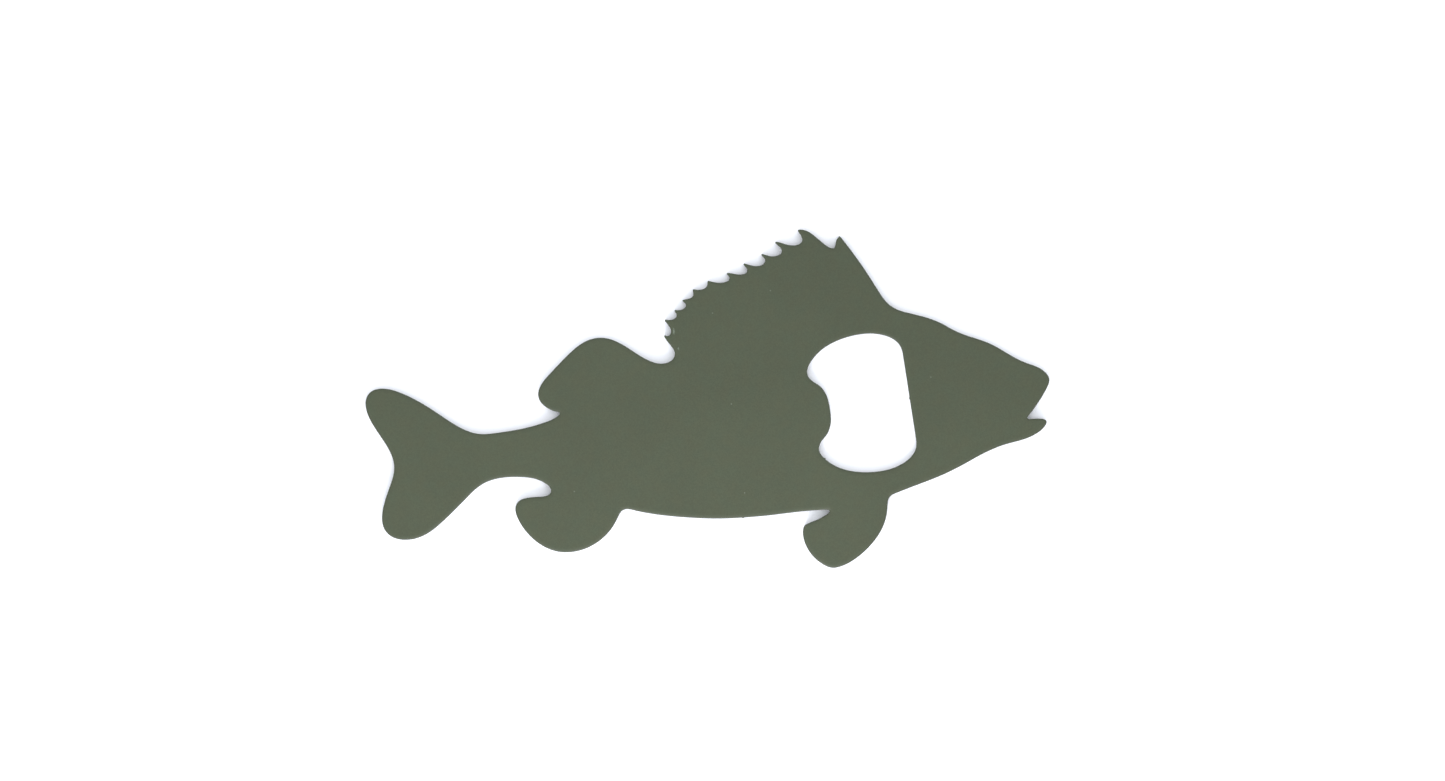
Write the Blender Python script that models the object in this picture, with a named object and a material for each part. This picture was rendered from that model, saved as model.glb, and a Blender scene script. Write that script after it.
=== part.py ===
# Souvenir bottle opener: one flat steel plate cut to the outline of a bass, powder coated all over.
# The cap opening through the shoulder is the working feature: its rounded lip presses on the crown
# and its straight bar catches the crown's rim.
# Lengths are metres and +Z is up. The back face lies on z = 0, the snout points to +X and the
# spiny back fin to +Y.
import math

import bpy
from mathutils import Vector

# Driving dimensions
overallLength = 0.165          # tail tip to snout
plateThickness = 0.0025        # sheet thickness with its coat
edgeBreak = 0.00015            # chamfer round both rims of every cut edge
tipRadius = 0.0002             # the pointed tip of every spine ends in this radius
openingAngle = 8.8             # degrees that the cap opening leans from square
barMiddle = (48.77, 0.49)       # middle of the opening's straight bar, in outline units
outlinePieces = 4              # straight pieces between two knots of the outline
openingPieces = 6              # and of the cap opening

# The outline is drawn in units of 1/165 of the length, so one unit is a millimetre at 165 mm.
unit = overallLength / 165.0

# Every knot is x, y and the heading of the edge in degrees, the material on its left.
# A corner has two headings: the one that the edge arrives on, then the one that it leaves on.

# First and tallest spine of the back fin, and the web behind it up to the second spine.
leadingSpine = [
    (36.8, 32.85, 125.5),
    (31.85, 39.37, 130, 238),
    (31.05, 38.0, 261),
    (30.25, 36.32, 185),
    (28.7, 36.95, 146),
    (26.85, 38.45, 140),
    (23.9, 40.52, 158),
]

# The other spines, front to back: the pointed tip, the side of the scoop below it and its floor.
spineScoops = [
    [(21.7, 40.74, 188, 302), (22.87, 38.4, 270), (20.6, 37.0, 180)],
    [(16.05, 37.99, 171, 312), (17.94, 35.7, 270), (15.7, 34.37, 180)],
    [(12.7, 35.1, 164, 308), (13.93, 33.4, 268), (11.75, 32.01, 180)],
    [(8.46, 32.78, 164, 303), (9.62, 31.0, 270), (7.9, 29.98, 180)],
    [(4.45, 30.41, 176, 306), (5.33, 29.15, 270), (3.3, 28.0, 186)],
    [(0.08, 28.48, 168, 260), (-0.1, 27.3, 248), (-2.1, 26.29, 180)],
    [(-3.52, 26.44, 177, 270), (-3.43, 25.05, 264), (-4.5, 24.16, 194)],
    [(-6.15, 23.76, 197, 309), (-5.2, 22.6, 270), (-7.15, 21.36, 184)],
    [(-8.08, 21.39, 186, 303), (-7.44, 20.15, 270), (-9.3, 18.99, 182)],
    [(-10.47, 19.07, 181, 305), (-8.8, 16.2, 270), (-9.65, 15.12, 188)],
    [(-10.65, 15.29, 176, 302), (-9.3, 13.35, 310)],
]

# Deep gap between the two back fins, the soft rear fin and the narrow notch under it.
softFin = [
    (-7.9, 10.65, 265),
    (-11.2, 8.47, 180),
    (-14.3, 9.31, 155.5),
    (-18.6, 11.88, 146.5),
    (-26.4, 14.7, 185),
    (-32.3, 11.84, 222),
    (-37.9, 6.15, 227),
    (-40.73, 0.2, 285),
    (-39.1, -1.92, 324),
    (-36.3, -3.14, 354),
    (-35.68, -3.58, 270),
    (-36.0, -4.03, 226),
    (-37.1, -4.8, 210),
    (-39.9, -5.92, 199),
]

# Top of the tail stem, the forked tail fin and the underside of the stem.
tailFin = [
    (-49.55, -8.05, 188),
    (-55.55, -8.44, 172),
    (-58.4, -7.59, 157),
    (-64.8, -3.76, 146),
    (-73.9, 1.35, 158),
    (-78.75, 2.43, 182),
    (-81.68, 1.23, 230),
    (-82.5, -1.5, 275),
    (-78.95, -9.0, 304),
    (-75.6, -16.65, 270),
    (-76.75, -21.5, 250),
    (-78.45, -27.6, 263),
    (-77.75, -31.83, 303),
    (-71.15, -33.92, 10),
    (-65.6, -31.15, 39.5),
    (-59.45, -25.3, 45),
    (-54.1, -20.53, 29),
    (-46.4, -18.9, 0),
]

# Rounded hollow behind the anal fin, the fin itself and the step back up to the belly.
analFin = [
    (-39.6, -20.15, 330),
    (-37.74, -22.25, 270),
    (-39.0, -23.48, 196),
    (-41.5, -23.74, 184),
    (-46.05, -25.4, 241),
    (-45.8, -28.8, 294),
    (-42.8, -33.12, 314),
    (-34.15, -37.08, 0),
    (-24.0, -32.42, 48),
    (-21.85, -29.15, 63),
    (-20.3, -26.87, 27),
    (-17.05, -27.09, 347.5),
]

# Belly, the narrow notch behind the pelvic fin and the fin.
pelvicFin = [
    (-1.9, -28.84, 357),
    (6.2, -28.84, 3),
    (17.3, -27.88, 7.5),
    (26.9, -26.89, 3),
    (28.85, -26.8, 1),
    (29.5, -27.2, 272),
    (29.2, -27.63, 224),
    (28.0, -28.43, 212),
    (24.6, -29.99, 204),
    (23.5, -30.62, 234),
    (23.13, -33.3, 279),
    (24.43, -36.62, 302),
    (27.47, -39.71, 327),
    (30.05, -40.81, 354),
    (33.1, -40.12, 23),
    (37.72, -37.02, 42),
    (41.7, -32.2, 60),
    (43.45, -26.25, 87),
    (43.93, -23.8, 55),
]

# Throat, lower jaw, the tight corner of the mouth, upper jaw, brow and nape.
head = [
    (45.85, -22.65, 22),
    (55.15, -19.05, 22),
    (63.9, -14.69, 30),
    (72.85, -10.76, 15),
    (78.8, -8.76, 29),
    (81.3, -6.8, 52),
    (81.73, -5.27, 128),
    (80.3, -4.79, 178),
    (77.75, -4.9, 180),
    (77.27, -4.57, 88),
    (77.44, -4.16, 50),
    (78.9, -2.25, 55),
    (81.75, 2.3, 63),
    (82.5, 4.75, 99),
    (80.75, 7.02, 144),
    (77.5, 8.45, 162),
    (72.4, 10.95, 149),
    (68.0, 13.38, 156.5),
    (63.75, 14.87, 163),
    (57.9, 17.41, 149),
    (53.3, 19.46, 162),
    (49.65, 20.43, 166),
    (45.55, 21.65, 154),
    (43.55, 23.0, 136.5),
    (41.4, 25.8, 122.5),
]

# Half of the cap opening: across, depth behind the bar and heading. It runs from the middle of
# the bar, round the side and the horn beside the lip, to the middle of the lip.
halfOpening = [
    (0.0, 0.0, 0),
    (10.4, 0.0, 0),
    (13.0, 0.6, 30),
    (14.56, 2.02, 53),
    (15.86, 4.52, 70),
    (16.69, 9.5, 90),
    (16.05, 15.0, 104),
    (14.46, 19.15, 119.5),
    (12.1, 22.1, 138),
    (9.35, 23.52, 180),
    (7.4, 22.66, 225),
    (6.0, 21.12, 225),
    (4.4, 20.1, 204),
    (0.0, 19.42, 180),
]


def direction(heading):
    return Vector((math.cos(math.radians(heading)), math.sin(math.radians(heading))))


def turned(fromHeading, toHeading):
    # Signed change of heading, between -180 and 180 degrees.
    return (toHeading - fromHeading + 180.0) % 360.0 - 180.0


def rounded(knots, radius):
    # Each corner becomes the two ends of an arc, which lie radius * tan(half of the turn) before
    # and after it. Every knot then has one heading.
    result = []
    for x, y, *headings in knots:
        arrive, leave = headings[0], headings[-1]
        if arrive == leave:
            result.append((x, y, arrive))
            continue
        reach = radius * math.tan(math.radians(abs(turned(arrive, leave))) / 2.0)
        before = Vector((x, y)) - direction(arrive) * reach
        after = Vector((x, y)) + direction(leave) * reach
        result.append((before.x, before.y, arrive))
        result.append((after.x, after.y, leave))
    return result


def mirroredOpening():
    # The half profile and its mirror image, laid on the bar's middle and leaned by the opening's
    # angle. Depth runs away from the bar, towards the tail.
    mirrored = [(-x, y, 360.0 - heading) for x, y, heading in halfOpening[-2:0:-1]]
    depthWay = direction(180.0 + openingAngle)
    acrossWay = direction(270.0 + openingAngle)
    knots = []
    for across, depth, heading in halfOpening + mirrored:
        place = Vector(barMiddle) + acrossWay * across + depthWay * depth
        knots.append((place.x, place.y, 270.0 + openingAngle - heading))
    return knots


def addSpline(curve, knots, pieces):
    # A closed Bezier loop. Between two knots both handles are chord / (3 cos^2(turn / 4)) long,
    # which makes the stretch a circular arc wherever the headings allow one.
    spline = curve.splines.new("BEZIER")
    spline.bezier_points.add(len(knots) - 1)
    spline.use_cyclic_u = True
    spline.resolution_u = pieces
    for point, (x, y, heading) in zip(spline.bezier_points, knots):
        point.co = (x * unit, y * unit, 0.0)
        point.handle_left_type = "FREE"
        point.handle_right_type = "FREE"
    for index, (x, y, heading) in enumerate(knots):
        following = (index + 1) % len(knots)
        start = spline.bezier_points[index]
        end = spline.bezier_points[following]
        turn = turned(heading, knots[following][2])
        reach = (end.co - start.co).length / (3.0 * math.cos(math.radians(turn) / 4.0) ** 2)
        start.handle_right = start.co + (direction(heading) * reach).to_3d()
        end.handle_left = end.co - (direction(knots[following][2]) * reach).to_3d()
    return spline


def coatMaterial():
    # Matt olive-green powder coat.
    material = bpy.data.materials.new("olive_powder_coat")
    material.use_nodes = True
    shader = material.node_tree.nodes["Principled BSDF"]
    shader.inputs["Base Color"].default_value = (0.115, 0.135, 0.092, 1.0)
    shader.inputs["Metallic"].default_value = 0.0
    shader.inputs["Roughness"].default_value = 0.55
    return material


for old in list(bpy.data.objects):
    bpy.data.objects.remove(old, do_unlink=True)

opener = bpy.data.collections.new("souvenir_bottle_opener")
bpy.context.scene.collection.children.link(opener)

outlineKnots = list(leadingSpine)
for scoop in spineScoops:
    outlineKnots += scoop
outlineKnots += softFin + tailFin + analFin + pelvicFin + head

# The plate is the filled outline with the opening as a second loop inside it. The curve's own
# bevel is the chamfer round both rims, and the offset brings the chamfered edge back to size.
plateCurve = bpy.data.curves.new("opener_plate", "CURVE")
plateCurve.dimensions = "2D"
plateCurve.fill_mode = "BOTH"
plateCurve.extrude = plateThickness / 2.0 - edgeBreak
plateCurve.bevel_depth = edgeBreak
plateCurve.bevel_resolution = 0
plateCurve.offset = -edgeBreak
plateCurve.render_resolution_u = 0
addSpline(plateCurve, rounded(outlineKnots, tipRadius / unit), outlinePieces)
addSpline(plateCurve, mirroredOpening(), openingPieces)
plateCurve.materials.append(coatMaterial())

# The back face rests on z = 0.
plate = bpy.data.objects.new("opener_plate", plateCurve)
plate.location = (0.0, 0.0, plateThickness / 2.0)
opener.objects.link(plate)

# The flat faces are joined to the cut wall.
closeEdges = plate.modifiers.new("close_edges", "WELD")
closeEdges.merge_threshold = 0.000002
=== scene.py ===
import math

import bpy
import numpy as np
from mathutils.geometry import tessellate_polygon
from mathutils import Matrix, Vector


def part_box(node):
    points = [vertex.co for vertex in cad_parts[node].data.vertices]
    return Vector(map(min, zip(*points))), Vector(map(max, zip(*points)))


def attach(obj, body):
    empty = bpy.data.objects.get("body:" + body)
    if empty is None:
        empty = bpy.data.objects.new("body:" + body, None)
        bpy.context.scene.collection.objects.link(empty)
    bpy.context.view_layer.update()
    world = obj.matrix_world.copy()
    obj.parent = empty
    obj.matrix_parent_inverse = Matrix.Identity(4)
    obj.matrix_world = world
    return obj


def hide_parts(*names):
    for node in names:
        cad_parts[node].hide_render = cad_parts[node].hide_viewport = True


# Souvenir bottle opener: a flat steel plate, cut to the outline of a spiny-finned fish and powder
# coated. The plate lies on its back face, snout towards +X, spiny fin towards +Y.

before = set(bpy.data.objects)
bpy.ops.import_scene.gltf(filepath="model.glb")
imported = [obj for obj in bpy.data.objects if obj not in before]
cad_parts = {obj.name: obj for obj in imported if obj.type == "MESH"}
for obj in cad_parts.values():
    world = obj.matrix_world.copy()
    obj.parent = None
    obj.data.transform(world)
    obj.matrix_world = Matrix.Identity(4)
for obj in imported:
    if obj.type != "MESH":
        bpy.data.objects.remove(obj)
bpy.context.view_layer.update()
plateLow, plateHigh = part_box("opener_plate")
print("frame loaded, plate", [round(high - low, 4) for low, high in zip(plateLow, plateHigh)])


# Outline of the plate, in millimetres about the middle of the plate.
# A knot is x, y and the heading of the edge in degrees, with the metal on its left. A corner has
# two headings: the one that the edge arrives on, then the one that it leaves on.

leadingSpine = [  # first spine of the back fin and the web behind it
    (36.8, 32.85, 125.5), (31.85, 39.37, 130, 238), (31.05, 38.0, 261), (30.25, 36.32, 185),
    (28.7, 36.95, 146), (26.85, 38.45, 140), (23.9, 40.52, 158),
]

spineScoops = [  # the other spines: pointed tip, side of the scoop below it, floor of the scoop
    (21.7, 40.74, 188, 302), (22.87, 38.4, 270), (20.6, 37.0, 180),
    (16.05, 37.99, 171, 312), (17.94, 35.7, 270), (15.7, 34.37, 180),
    (12.7, 35.1, 164, 308), (13.93, 33.4, 268), (11.75, 32.01, 180),
    (8.46, 32.78, 164, 303), (9.62, 31.0, 270), (7.9, 29.98, 180),
    (4.45, 30.41, 176, 306), (5.33, 29.15, 270), (3.3, 28.0, 186),
    (0.08, 28.48, 168, 260), (-0.1, 27.3, 248), (-2.1, 26.29, 180),
    (-3.52, 26.44, 177, 270), (-3.43, 25.05, 264), (-4.5, 24.16, 194),
    (-6.15, 23.76, 197, 309), (-5.2, 22.6, 270), (-7.15, 21.36, 184),
    (-8.08, 21.39, 186, 303), (-7.44, 20.15, 270), (-9.3, 18.99, 182),
    (-10.47, 19.07, 181, 305), (-8.8, 16.2, 270), (-9.65, 15.12, 188),
    (-10.65, 15.29, 176, 302), (-9.3, 13.35, 310),
]

softFin = [  # gap between the back fins, soft rear fin, narrow notch under it
    (-7.9, 10.65, 265), (-11.2, 8.47, 180), (-14.3, 9.31, 155.5), (-18.6, 11.88, 146.5),
    (-26.4, 14.7, 185), (-32.3, 11.84, 222), (-37.9, 6.15, 227), (-40.73, 0.2, 285),
    (-39.1, -1.92, 324), (-36.3, -3.14, 354), (-35.68, -3.58, 270), (-36.0, -4.03, 226),
    (-37.1, -4.8, 210), (-39.9, -5.92, 199),
]

tailFin = [  # top of the stem, forked tail fin, underside of the stem
    (-49.55, -8.05, 188), (-55.55, -8.44, 172), (-58.4, -7.59, 157), (-64.8, -3.76, 146),
    (-73.9, 1.35, 158), (-78.75, 2.43, 182), (-81.68, 1.23, 230), (-82.5, -1.5, 275),
    (-78.95, -9.0, 304), (-75.6, -16.65, 270), (-76.75, -21.5, 250), (-78.45, -27.6, 263),
    (-77.75, -31.83, 303), (-71.15, -33.92, 10), (-65.6, -31.15, 39.5), (-59.45, -25.3, 45),
    (-54.1, -20.53, 29), (-46.4, -18.9, 0),
]

analFin = [  # rounded hollow, anal fin, step back up to the belly
    (-39.6, -20.15, 330), (-37.74, -22.25, 270), (-39.0, -23.48, 196), (-41.5, -23.74, 184),
    (-46.05, -25.4, 241), (-45.8, -28.8, 294), (-42.8, -33.12, 314), (-34.15, -37.08, 0),
    (-24.0, -32.42, 48), (-21.85, -29.15, 63), (-20.3, -26.87, 27), (-17.05, -27.09, 347.5),
]

pelvicFin = [  # belly, narrow notch, pelvic fin
    (-1.9, -28.84, 357), (6.2, -28.84, 3), (17.3, -27.88, 7.5), (26.9, -26.89, 3),
    (28.85, -26.8, 1), (29.5, -27.2, 272), (29.2, -27.63, 224), (28.0, -28.43, 212),
    (24.6, -29.99, 204), (23.5, -30.62, 234),
    (23.13, -33.3, 279), (24.43, -36.62, 302), (27.47, -39.71, 327), (30.05, -40.81, 354),
    (33.1, -40.12, 23), (37.72, -37.02, 42), (41.7, -32.2, 60), (43.45, -26.25, 87),
    (43.93, -23.8, 55),
]

head = [  # throat, lower jaw, corner of the mouth, upper jaw, brow, nape
    (45.85, -22.65, 22), (55.15, -19.05, 22), (63.9, -14.69, 30), (72.85, -10.76, 15),
    (78.8, -8.76, 29), (81.3, -6.8, 52), (81.73, -5.27, 128), (80.3, -4.79, 178),
    (77.75, -4.9, 180), (77.27, -4.57, 88), (77.44, -4.16, 50),
    (78.9, -2.25, 55), (81.75, 2.3, 63), (82.5, 4.75, 99),
    (80.75, 7.02, 144), (77.5, 8.45, 162), (72.4, 10.95, 149), (68.0, 13.38, 156.5),
    (63.75, 14.87, 163), (57.9, 17.41, 149), (53.3, 19.46, 162), (49.65, 20.43, 166),
    (45.55, 21.65, 154), (43.55, 23.0, 136.5), (41.4, 25.8, 122.5),
]

# Half of the cap opening as across, depth and heading: middle of the straight bar, side, horn
# beside the lip, middle of the lip.
halfOpening = [
    (0.0, 0.0, 0), (10.4, 0.0, 0), (13.0, 0.6, 30), (14.56, 2.02, 53), (15.86, 4.52, 70),
    (16.69, 9.5, 90), (16.05, 15.0, 104), (14.46, 19.15, 119.5), (12.1, 22.1, 138),
    (9.35, 23.52, 180), (7.4, 22.66, 225), (6.0, 21.12, 225), (4.4, 20.1, 204), (0.0, 19.42, 180),
]

# What can be changed in the shape of the plate. Lengths are millimetres.
plateShape = {
    "barMiddle": (48.77, 0.49),  # middle of the straight bar of the cap opening
    "lean": 8.8,                 # degrees that the cap opening leans from square
    "tipRadius": 0.2,            # at the pointed tip of every spine
    "rollWidth": 1.1,            # both faces roll down to the wall over this width
    "rollDepth": 0.27,           # and by this much
    "rollShare": 0.7,            # at a tip, of the way from the edge to its middle line
    "rollTaper": 0.5,            # that the roll may narrow for each millimetre along the edge
    "rollSteps": 8,              # pieces across each roll
    "wallSteps": 3,              # and down the wall
    "curveSteps": 160,           # points on the curve between two knots
    "turnPerStep": 7.0,          # degrees between two sections of the edge
    "longestStep": 0.6,          # between two sections of the edge
    "nibStep": 0.22,             # between two sections beside a nib, in the nib's half-widths
    "nibSurround": 3.2,          # that such sections reach on each side, in the nib's half-widths
    # Where the cutting beam came in, it left a nib: place, height and half-width.
    "outlineNibs": [((8.6, -28.7), 0.2, 0.16)],
    "openingNibs": [((48.75, 0.1), 0.18, 0.22), ((28.3, -14.5), 0.22, 0.16)],
}

perMetre = 1000.0  # the knots and plateShape are millimetres, the mesh is metres


# Signed change of heading, -180 to 180 degrees.
def turned(fromHeading, toHeading):
    return (toHeading - fromHeading + 180.0) % 360.0 - 180.0


def unitVector(heading):
    angle = np.radians(heading)
    return np.stack([np.cos(angle), np.sin(angle)], axis=-1)


# Each corner becomes the two ends of an arc, radius * tan(half of the turn) before and after it.
def roundedCorners(knots):
    result = []
    for x, y, *headings in knots:
        arrive, leave = headings[0], headings[-1]
        if arrive == leave:
            result.append((x, y, arrive))
            continue
        halfTurn = math.radians(abs(turned(arrive, leave))) / 2
        cutBack = plateShape["tipRadius"] * math.tan(halfTurn)
        result.append((*(np.array((x, y)) - cutBack * unitVector(arrive)), arrive))
        result.append((*(np.array((x, y)) + cutBack * unitVector(leave)), leave))
    return result


# The half profile and its mirror image, laid on the bar's middle and leaned with it.
def openingKnots():
    mirrored = [(-x, y, 360.0 - heading) for x, y, heading in halfOpening[-2:0:-1]]
    depthWay = unitVector(180.0 + plateShape["lean"])
    acrossWay = unitVector(270.0 + plateShape["lean"])
    knots = []
    for across, depth, heading in halfOpening + mirrored:
        place = np.array(plateShape["barMiddle"]) + across * acrossWay + depth * depthWay
        knots.append((*place, 270.0 + plateShape["lean"] - heading))
    return knots


# A cubic curve between each two knots, all at once as arrays: both handles are
# chord / (3 cos^2(turn / 4)) long, so a stretch is an arc wherever its headings allow one.
def fineCurve(knots):
    start = np.array(knots)
    end = np.roll(start, -1, axis=0)
    turn = np.radians(turned(start[:, 2], end[:, 2]))
    chord = np.linalg.norm(end[:, :2] - start[:, :2], axis=1)
    handle = (chord / (3 * np.cos(turn / 4) ** 2))[:, None]
    leaving = start[:, :2] + handle * unitVector(start[:, 2])
    arriving = end[:, :2] - handle * unitVector(end[:, 2])
    steps = plateShape["curveSteps"]
    t = (np.arange(steps) / steps)[None, :, None]
    points = (
        (1 - t) ** 3 * start[:, None, :2] + 3 * t * (1 - t) ** 2 * leaving[:, None]
        + 3 * t ** 2 * (1 - t) * arriving[:, None] + t ** 3 * end[:, None, :2]
    )
    return points.reshape(-1, 2)


# Sections along a closed edge, closer where it bends or carries a nib. The need for sections adds
# up along the edge, and the sections are evenly spread over that sum. Returns places, directions
# out of the metal, the nibs' swelling, the lengths run so far and the whole length.
def edgeSections(curve, nibs):
    ahead = np.roll(curve, -1, axis=0)
    steps = np.linalg.norm(ahead - curve, axis=1)
    heading = np.arctan2(*(ahead - curve).T[::-1])
    bend = np.abs((np.roll(heading, -1) - heading + np.pi) % (2 * np.pi) - np.pi)
    need = steps / plateShape["longestStep"] + np.degrees(bend) / plateShape["turnPerStep"]
    for place, height, halfWidth in nibs:
        away = np.linalg.norm(curve - np.array(place), axis=1)
        isClose = away < halfWidth * plateShape["nibSurround"]
        need += steps / (halfWidth * plateShape["nibStep"]) * isClose
    run = np.concatenate([[0.0], np.cumsum(steps)])
    sumOfNeed = np.concatenate([[0.0], np.cumsum(need)])
    count = int(math.ceil(sumOfNeed[-1]))
    stations = np.interp(np.arange(count) * sumOfNeed[-1] / count, sumOfNeed, run)
    closed = np.concatenate([curve, curve[:1]])
    places = np.stack([np.interp(stations, run, closed[:, axis]) for axis in (0, 1)], axis=1)
    lookAway = 0.02  # millimetres to either side, for the direction of the edge
    sides = [
        np.stack([np.interp(stations + way, run, closed[:, axis], period=run[-1])
                  for axis in (0, 1)], axis=1)
        for way in (-lookAway, lookAway)
    ]
    along = sides[1] - sides[0]
    along /= np.linalg.norm(along, axis=1, keepdims=True)
    outwards = np.stack([along[:, 1], -along[:, 0]], axis=1)
    swelling = np.zeros(count)  # a bell-shaped rise of the wall at each nib
    for place, height, halfWidth in nibs:
        away = np.linalg.norm(places - np.array(place), axis=1)
        swelling += height * np.exp(-(away / halfWidth) ** 2)
    return places, outwards, swelling, stations, run[-1]


# How far the metal reaches in from each place on the edge before it is nearer to another one: the
# radius of the circle that touches the edge there and meets it again, |gap|^2 / (2 * inward gap).
def freeReach(places, outwards):
    parts = 30             # the table of gaps is worked out in parts, to keep it small
    leastInward = 1e-7     # millimetres, below which a place is on the same straight edge
    noneInward = 1000.0    # millimetres, the reach where no other place lies inwards
    result = []
    for part in np.array_split(np.arange(len(places)), parts):
        gap = places[None] - places[part][:, None]
        inward = -(gap * outwards[part][:, None]).sum(axis=2)
        radius = (gap ** 2).sum(axis=2) / (2 * np.maximum(inward, leastInward))
        result.append(radius.min(axis=1, where=inward > leastInward, initial=noneInward))
    return np.concatenate(result)


# The width of the roll at each section: full on long edges, narrower towards a tip, and changing
# no faster along the edge than its taper. The edge is laid out three times over, so that the
# taper runs on across its ends.
def rollWidths(metalReach, stations, length):
    width = np.minimum(plateShape["rollWidth"], plateShape["rollShare"] * metalReach)
    taper = plateShape["rollTaper"]
    run = np.concatenate([stations - length, stations, stations + length])
    width = np.tile(width, 3)
    width = np.minimum.accumulate(width - taper * run) + taper * run
    width = (np.minimum.accumulate((width + taper * run)[::-1])[::-1]) - taper * run
    return width[len(stations):2 * len(stations)]


# The section of the edge, from the front face to the back face: a quarter of an ellipse, the cut
# wall, a quarter of an ellipse. Returns the inset as a share of the roll's width, the drop below
# the front face as a share of its depth, the share of the wall's height that is passed, and the
# outward and upward shares of the normal.
def edgeProfile():
    angle = np.linspace(0, np.pi / 2, plateShape["rollSteps"] + 1)
    wall = np.linspace(0, 1, plateShape["wallSteps"] + 1)[1:-1]
    inset = np.concatenate([1 - np.sin(angle), 0 * wall, 1 - np.sin(angle[::-1])])
    drop = np.concatenate([1 - np.cos(angle), 1 + 0 * wall, 1 + np.cos(angle[::-1])])
    passed = np.concatenate([0 * angle, wall, 1 + 0 * angle])
    tilt = np.arctan2(np.sin(angle) * plateShape["rollDepth"],
                      np.cos(angle) * plateShape["rollWidth"])
    out = np.concatenate([np.sin(tilt), 1 + 0 * wall, np.sin(tilt[::-1])])
    up = np.concatenate([np.cos(tilt), 0 * wall, -np.cos(tilt[::-1])])
    return inset, drop, passed, out, up


# Normals of an edge's grid: the way down the profile crossed with the way along the edge. The
# innermost rings also belong to the flat faces, so theirs are straight up and straight down.
def gridNormals(grid):
    along = np.roll(grid, -1, axis=1) - np.roll(grid, 1, axis=1)
    across = np.gradient(grid, axis=0)
    normal = np.cross(across, along)
    normal[0], normal[-1] = (0, 0, 1), (0, 0, -1)
    normal /= np.linalg.norm(normal, axis=2, keepdims=True)
    return normal


# A flat face as triangles: it spans the given rings, and all of it faces up or all of it down.
def flatFace(vertices, rings, upwards):
    corners = tessellate_polygon([vertices[ring].tolist() for ring in rings])
    triangles = np.concatenate(rings)[np.array(corners)]
    a, b, c = (vertices[triangles[:, corner]] for corner in range(3))
    isUp = np.cross(b - a, c - a)[:, 2] > 0
    triangles[isUp != upwards] = triangles[isUp != upwards][:, ::-1]
    return triangles


# Each closed edge is a grid, profile points by sections. A point stands off its section's place
# by swelling * outward share - inset * roll width, and below the front face by drop * roll depth
# + share passed * wall height. Two flat faces span the innermost rings. The drawn outline is
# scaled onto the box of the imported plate.
def makePlate():
    thickness = (plateHigh[2] - plateLow[2]) * perMetre
    inset, drop, passed, out, up = edgeProfile()
    rings = len(inset)
    edges = [
        edgeSections(fineCurve(roundedCorners(outlineKnots)), plateShape["outlineNibs"]),
        edgeSections(fineCurve(openingKnots()), plateShape["openingNibs"]),
    ]
    outline = edges[0][0]
    metalReach = freeReach(np.concatenate([edge[0] for edge in edges]),
                           np.concatenate([edge[1] for edge in edges]))
    low, high = outline.min(axis=0), outline.max(axis=0)
    scale = (np.array(plateHigh[:2]) - np.array(plateLow[:2])) / (high - low)
    shift = np.array(plateLow[:2]) - low * scale
    vertices, normals, faces, uvs, walls, rims = [], [], [], [], [], []
    frontRings, backRings = [], []
    start = 0
    for edge, edgeReach in zip(edges, np.split(metalReach, [len(outline)])):
        places, outwards, swelling, stations, length = edge
        count = len(places)
        width = rollWidths(edgeReach, stations, length)
        rollDepth = plateShape["rollDepth"] * np.sqrt(width / plateShape["rollWidth"])
        move = swelling[None, :] * out[:, None] - inset[:, None] * width[None, :]
        flat = (places[None] + outwards[None] * move[:, :, None]) * scale + shift
        fallen = drop[:, None] * rollDepth + passed[:, None] * (thickness - 2 * rollDepth)
        grid = np.concatenate([flat, (plateHigh[2] - fallen / perMetre)[:, :, None]], axis=2)

        # The UV map is the length run along the edge and the length run down the profile.
        runAlong = np.append(stations, length) / perMetre
        runDown = np.append(0, np.cumsum(np.hypot(np.diff(inset * plateShape["rollWidth"]),
                                                  np.diff(fallen.mean(axis=1))))) / perMetre
        ring, section = np.meshgrid(np.arange(rings - 1), np.arange(count), indexing="ij")
        corners = ((0, 0), (1, 0), (1, 1), (0, 1))  # rings further down, sections further on
        faces.append(np.stack([
            start + (ring + down) * count + (section + on) % count for down, on in corners
        ], axis=-1).reshape(-1, 4))
        uvs.append(np.stack([
            np.stack([runAlong[section + on], runDown[ring + down]], axis=-1)
            for down, on in corners
        ], axis=2).reshape(-1, 2))

        vertices.append(grid.reshape(-1, 3))
        normals.append(gridNormals(grid).reshape(-1, 3))
        walls.append(np.repeat(out ** 4, count))              # 1 on the wall, 0 on the flat
        rims.append(np.repeat(2 * out * np.abs(up), count))   # 1 where the roll slopes 45 degrees
        frontRings.append(start + np.arange(count))
        backRings.append(start + (rings - 1) * count + np.arange(count))
        start += rings * count
    vertices = np.concatenate(vertices)
    flatFaces = np.concatenate([flatFace(vertices, frontRings, True),
                                flatFace(vertices, backRings, False)])
    allFaces = np.concatenate(faces).tolist() + flatFaces.tolist()
    mesh = bpy.data.meshes.new("coated_plate")
    mesh.from_pydata(vertices.tolist(), [], allFaces)
    mesh.polygons.foreach_set("use_smooth", [True] * len(allFaces))
    edgeUv = mesh.uv_layers.new(name="edgeUv")
    allUvs = np.concatenate(uvs + [vertices[flatFaces.reshape(-1), :2]])
    edgeUv.uv.foreach_set("vector", allUvs.astype(np.float32).ravel())
    for name, values in (("wallShare", walls), ("rimShare", rims)):
        attribute = mesh.attributes.new(name, "FLOAT", "POINT")
        attribute.data.foreach_set("value", np.concatenate(values).astype(np.float32))
    mesh.normals_split_custom_set_from_vertices(np.concatenate(normals).tolist())
    mesh.validate()
    plate = bpy.data.objects.new("coated_plate", mesh)
    bpy.context.scene.collection.objects.link(plate)
    return plate


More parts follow.
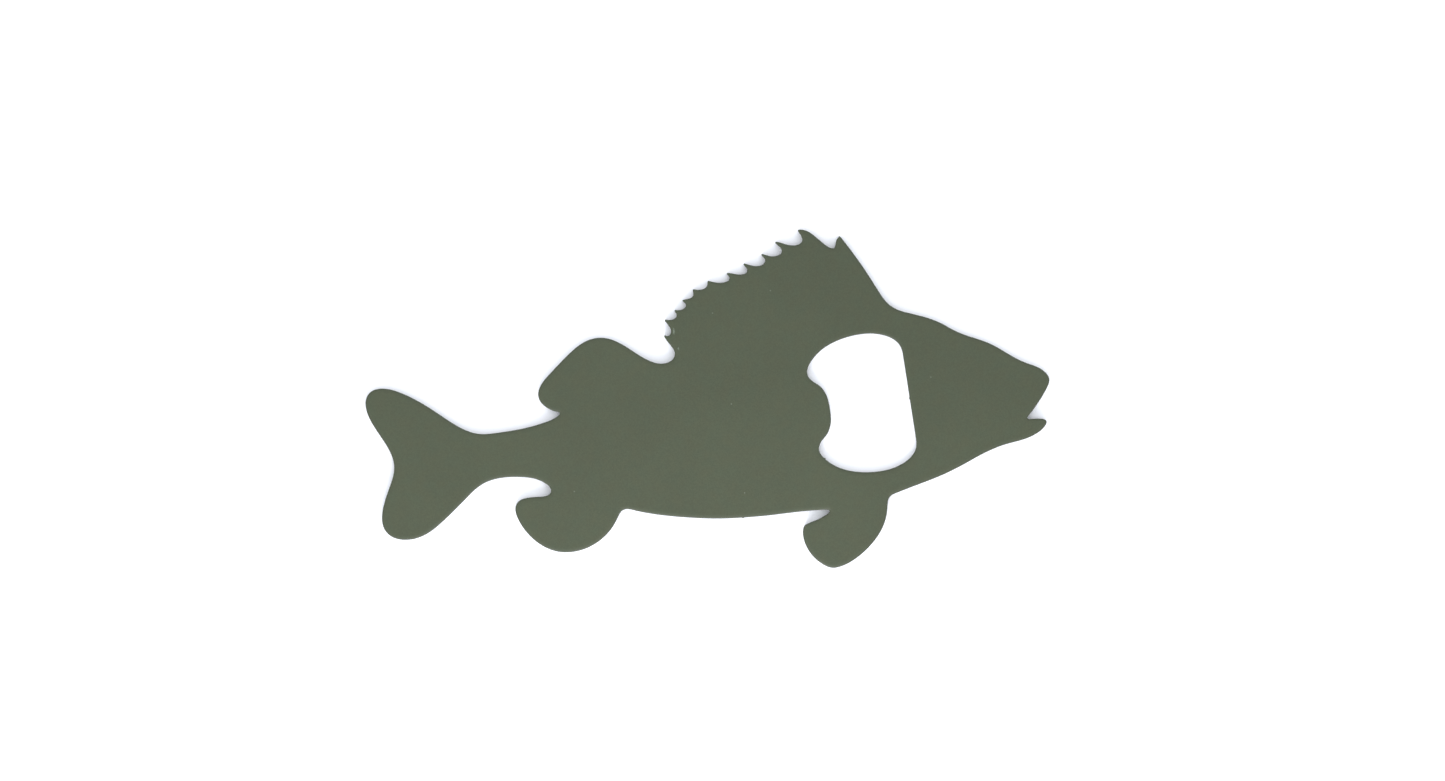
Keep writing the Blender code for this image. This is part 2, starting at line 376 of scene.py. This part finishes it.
outlineKnots = leadingSpine + spineScoops + softFin + tailFin + analFin + pelvicFin + head
plate = makePlate()
print("plate made,", len(plate.data.polygons), "faces")


# Powder coat: matt olive, fine grained, a little thinner on the rims. Lengths are metres, and each
# range of a noise is the stretch of its values that is spread over the look.
coat = {
    "colour": (0.0407, 0.0487, 0.0243),
    "paleColour": (0.0434, 0.0519, 0.0260),   # drifts of slightly paler coat
    "thinColour": (0.0460, 0.0500, 0.0330),   # thinner coat on the rims
    "thinShare": (0.15, 0.6),                 # least and most of it on a rim
    "thinRange": (0.35, 0.7),                 # of the orange peel that it follows
    "specular": 0.3,
    "roughness": (0.51, 0.60),                # in the pits and on the humps of the orange peel
    "rimSmoothing": 0.08,                     # the rims are this much less rough
    "driftSize": 0.022,
    "driftRange": (0.35, 0.65),
    "tintSize": 0.0032,                       # faint mottling between browner and greener coat
    "brownTint": (1.025, 0.992, 0.975),
    "greenTint": (0.975, 1.008, 1.025),
    "peelSize": 0.0014,                       # orange peel
    # painted shade: the coat is drawn a little darker in the pits of the orange peel and lighter on
    # its humps
    "peelPaintedShade": (0.98, 1.02),
    "grainSize": 0.00028,                     # fine texture of the matt powder
    "pigmentShade": (0.93, 1.07),             # from the darkest powder grain to the palest
    "streakPitch": 0.00016,                   # cutting lines down the wall
    "streakStretch": 0.06,                    # how fast they change down it, as a share of along it
    "streakShade": 0.86,
    "noiseRange": (0.3, 0.7),                 # of the other noises
    # Specks of dust under the coat, at most one to a cell: distance between the cells, share of
    # them that stays clean, radii where a speck starts to fade and where it ends, in distances
    # between cells, its colour and its strength.
    "dustSpacing": 0.0055,
    "cleanShare": 0.7,
    "speckRadii": (0.015, 0.04),
    "speckColour": (0.2, 0.22, 0.17),
    "speckStrength": 0.35,
    # Strength and height of each relief.
    "peelRelief": (0.25, 0.00006),
    "grainRelief": (0.3, 0.00002),
    "speckRelief": (0.6, 0.00004),
    "streakRelief": (0.7, 0.00005),
    # Two small scuffs beside the last spines: place, half-sizes and strength.
    "scuffs": [((-0.0081, 0.0163, 0.0025), (0.00022, 0.00075, 0.0002), 0.5),
               ((-0.0070, 0.0121, 0.0025), (0.00022, 0.00040, 0.0002), 0.35)],
    "scuffColour": (0.2, 0.24, 0.18),
    "scuffFade": (0.4, 1.1),                  # radii between which a scuff fades, in half-sizes
    "scuffRaggedness": 0.35,                  # that the grain moves these radii either way
}


# Adds nodes to a material, and links or sets their inputs by name.
class NodeSheet:
    def __init__(self, name):
        self.material = bpy.data.materials.new(name)
        self.material.use_nodes = True
        self.tree = self.material.node_tree
        self.shader = self.tree.nodes["Principled BSDF"]

    def add(self, kind, inputs=None, **settings):
        node = self.tree.nodes.new("ShaderNode" + kind)
        for name, value in settings.items():
            setattr(node, name, value)
        for name, value in (inputs or {}).items():
            self.put(node.inputs[name], value)
        return node

    def put(self, socket, value):
        if isinstance(value, bpy.types.NodeSocket):
            self.tree.links.new(value, socket)
        else:
            socket.default_value = value

    def calculate(self, operation, *values):
        return self.add("Math", dict(enumerate(values)), operation=operation).outputs[0]

    def spread(self, value, fromRange, toRange=(0.0, 1.0)):
        node = self.add("MapRange", {
            "Value": value, "From Min": fromRange[0], "From Max": fromRange[1],
            "To Min": toRange[0], "To Max": toRange[1],
        })
        return node.outputs["Result"]

    # Sockets 6 and 7 of a colour mix are its two colours, and output 2 is the mixed one.
    def blend(self, share, first, second, blendType="MIX"):
        node = self.add("Mix", {0: share, 6: first, 7: second}, data_type="RGBA",
                        blend_type=blendType)
        return node.outputs[2]

    def noise(self, vector, size, octaves):
        node = self.add("TexNoise", {"Vector": vector, "Scale": 1.0 / size, "Detail": octaves})
        return node.outputs["Fac"]

    def cells(self, vector, size):
        return self.add("TexVoronoi", {"Vector": vector, "Scale": 1.0 / size})

    # A cell has a random colour, and each channel of it is a random number from 0 to 1.
    def channel(self, colour, number):
        return self.add("SeparateColor", {"Color": colour}).outputs[number]

    def tone(self, colour, factor):
        grey = self.add("CombineColor", {0: factor, 1: factor, 2: factor}).outputs[0]
        return self.blend(1.0, colour, grey, "MULTIPLY")

    def relief(self, height, strengthAndDistance, before=None):
        strength, distance = strengthAndDistance
        inputs = {"Height": height, "Strength": strength, "Distance": distance}
        if before is not None:
            inputs["Normal"] = before
        return self.add("Bump", inputs).outputs["Normal"]


def opaque(colour):
    return (*colour, 1.0)


def coatMaterial():
    sheet = NodeSheet("olive_powder_coat")
    noiseRange = coat["noiseRange"]
    place = sheet.add("TexCoord").outputs["Object"]
    alongEdge = sheet.add("UVMap", uv_map="edgeUv").outputs["UV"]
    wall = sheet.add("Attribute", attribute_name="wallShare").outputs["Fac"]
    rim = sheet.add("Attribute", attribute_name="rimShare").outputs["Fac"]

    drift = sheet.noise(place, coat["driftSize"], octaves=3.0)
    tint = sheet.noise(place, coat["tintSize"], octaves=1.0)
    peel = sheet.noise(place, coat["peelSize"], octaves=2.0)
    grain = sheet.noise(place, coat["grainSize"], octaves=1.0)
    pigment = sheet.channel(sheet.cells(place, coat["grainSize"]).outputs["Color"], 0)

    # Dust: a speck in a few of the cells, as a small dot round the cell's own point.
    dust = sheet.cells(place, coat["dustSpacing"])
    dot = sheet.spread(dust.outputs["Distance"], coat["speckRadii"], (1.0, 0.0))
    isDusty = sheet.calculate("GREATER_THAN", sheet.channel(dust.outputs["Color"], 1),
                              coat["cleanShare"])
    specks = sheet.calculate("MULTIPLY", dot, isDusty)

    # Cutting lines: noise squeezed along the edge and stretched down the wall.
    squeezed = sheet.add("Mapping", {"Vector": alongEdge,
                                     "Scale": (1.0, coat["streakStretch"], 1.0)})
    streaks = sheet.noise(squeezed.outputs["Vector"], coat["streakPitch"], octaves=3.0)
    streaks = sheet.calculate("MULTIPLY", streaks, wall)

    colour = sheet.blend(sheet.spread(drift, coat["driftRange"]),
                         opaque(coat["colour"]), opaque(coat["paleColour"]))
    mottling = sheet.blend(sheet.spread(tint, noiseRange),
                           opaque(coat["brownTint"]), opaque(coat["greenTint"]))
    colour = sheet.blend(1.0, colour, mottling, "MULTIPLY")
    shade = sheet.spread(pigment, (0.0, 1.0), coat["pigmentShade"])
    # Part of this tone is painted shade: darker in the pits of the orange peel, lighter on its
    # humps.
    for part in (sheet.spread(peel, noiseRange, coat["peelPaintedShade"]),
                 sheet.spread(streaks, (0.0, 1.0), (1.0, coat["streakShade"]))):
        shade = sheet.calculate("MULTIPLY", shade, part)
    colour = sheet.tone(colour, shade)
    thinned = sheet.spread(peel, coat["thinRange"], coat["thinShare"])
    colour = sheet.blend(sheet.calculate("MULTIPLY", rim, thinned), colour,
                         opaque(coat["thinColour"]))
    paleSpecks = sheet.calculate("MULTIPLY", specks, coat["speckStrength"])
    colour = sheet.blend(paleSpecks, colour, opaque(coat["speckColour"]))

    # Scuffs: ellipses round their places, with an outline that the grain makes ragged.
    raggedness = sheet.spread(grain, noiseRange,
                              (-coat["scuffRaggedness"], coat["scuffRaggedness"]))
    for spot, halfSizes, strength in coat["scuffs"]:
        stretch = tuple(1.0 / size for size in halfSizes)
        move = tuple(-at * by for at, by in zip(spot, stretch))
        centred = sheet.add("Mapping", {"Vector": place, "Scale": stretch, "Location": move})
        away = sheet.add("VectorMath", {0: centred.outputs["Vector"]}, operation="LENGTH")
        ragged = sheet.calculate("ADD", away.outputs["Value"], raggedness)
        scuff = sheet.spread(ragged, coat["scuffFade"], (strength, 0.0))
        colour = sheet.blend(scuff, colour, opaque(coat["scuffColour"]))

    roughness = sheet.calculate("SUBTRACT", sheet.spread(peel, noiseRange, coat["roughness"]),
                                sheet.calculate("MULTIPLY", rim, coat["rimSmoothing"]))
    normal = sheet.relief(peel, coat["peelRelief"])
    normal = sheet.relief(grain, coat["grainRelief"], normal)
    normal = sheet.relief(specks, coat["speckRelief"], normal)
    normal = sheet.relief(streaks, coat["streakRelief"], normal)
    sheet.put(sheet.shader.inputs["Base Color"], colour)
    sheet.put(sheet.shader.inputs["Roughness"], roughness)
    sheet.put(sheet.shader.inputs["Normal"], normal)
    sheet.put(sheet.shader.inputs["Specular IOR Level"], coat["specular"])
    return sheet.material


plate.data.materials.append(coatMaterial())
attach(plate, "root")
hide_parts("opener_plate")
print("powder coat made")


# Floor, lights and camera, in metres.
studio = {
    "floorColour": (0.95, 0.95, 0.95),
    "floorRoughness": 0.9,
    "floorSize": 4.0,
    "floorGap": 0.00002,               # between the floor and the back face
    "keyFrom": (-0.01, -0.22, 0.12),   # low and close, on the belly side
    "keyAim": (-0.02, 0.0),            # where its middle line meets the plate
    "keySize": 0.2,
    "keyPower": 0.80,                  # watts
    "keyColour": (0.90, 0.90, 1.0),
    "skyColour": (0.898, 0.927, 1.0),
    "skyStrength": 1.576,
}

cameraView = {
    "aim": (0.003634, 0.001996),       # middle of the frame on the plate
    "width": 0.34855,                  # seen across at the front face
    "lens": 200.0,                     # millimetres, as is the sensor
    "sensor": 36.0,
    "farthest": 20.0,
}


def makeFloor():
    half = studio["floorSize"] / 2
    level = plateLow[2] - studio["floorGap"]
    corners = [(-half, -half), (half, -half), (half, half), (-half, half)]
    mesh = bpy.data.meshes.new("floor")
    mesh.from_pydata([(x, y, level) for x, y in corners], [], [(0, 1, 2, 3)])
    floor = bpy.data.objects.new("floor", mesh)
    bpy.context.scene.collection.objects.link(floor)
    sheet = NodeSheet("floor_white")
    sheet.put(sheet.shader.inputs["Base Color"], opaque(studio["floorColour"]))
    sheet.put(sheet.shader.inputs["Roughness"], studio["floorRoughness"])
    sheet.put(sheet.shader.inputs["Specular IOR Level"], 0.0)
    mesh.materials.append(sheet.material)


# A round soft light that is turned to its aim on the plate, and a plain even sky.
def makeLights():
    light = bpy.data.lights.new("key", "AREA")
    light.shape = "DISK"
    light.size = studio["keySize"]
    light.energy = studio["keyPower"]
    light.color = studio["keyColour"]
    key = bpy.data.objects.new("key", light)
    key.location = studio["keyFrom"]
    x, y, z = studio["keyFrom"]
    across, along = studio["keyAim"][0] - x, studio["keyAim"][1] - y
    tilt = math.atan2(math.hypot(across, along), z)
    key.rotation_euler = (tilt, 0.0, -math.atan2(across, along))
    key.visible_camera = False
    bpy.context.scene.collection.objects.link(key)
    world = bpy.data.worlds.new("sky")
    world.use_nodes = True
    background = world.node_tree.nodes["Background"]
    background.inputs["Color"].default_value = opaque(studio["skyColour"])
    background.inputs["Strength"].default_value = studio["skyStrength"]
    bpy.context.scene.world = world


# The camera looks straight down, from where its lens sees the given width at the front face.
def makeCamera():
    data = bpy.data.cameras.new("camera")
    data.lens = cameraView["lens"]
    data.sensor_width = cameraView["sensor"]
    data.clip_end = cameraView["farthest"]
    camera = bpy.data.objects.new("camera", data)
    away = cameraView["width"] * cameraView["lens"] / cameraView["sensor"]
    camera.location = (*cameraView["aim"], plateHigh[2] + away)
    bpy.context.scene.collection.objects.link(camera)
    bpy.context.scene.camera = camera


makeFloor()
makeLights()
makeCamera()
bpy.context.scene.view_settings.view_transform = "Standard"
print("studio made")
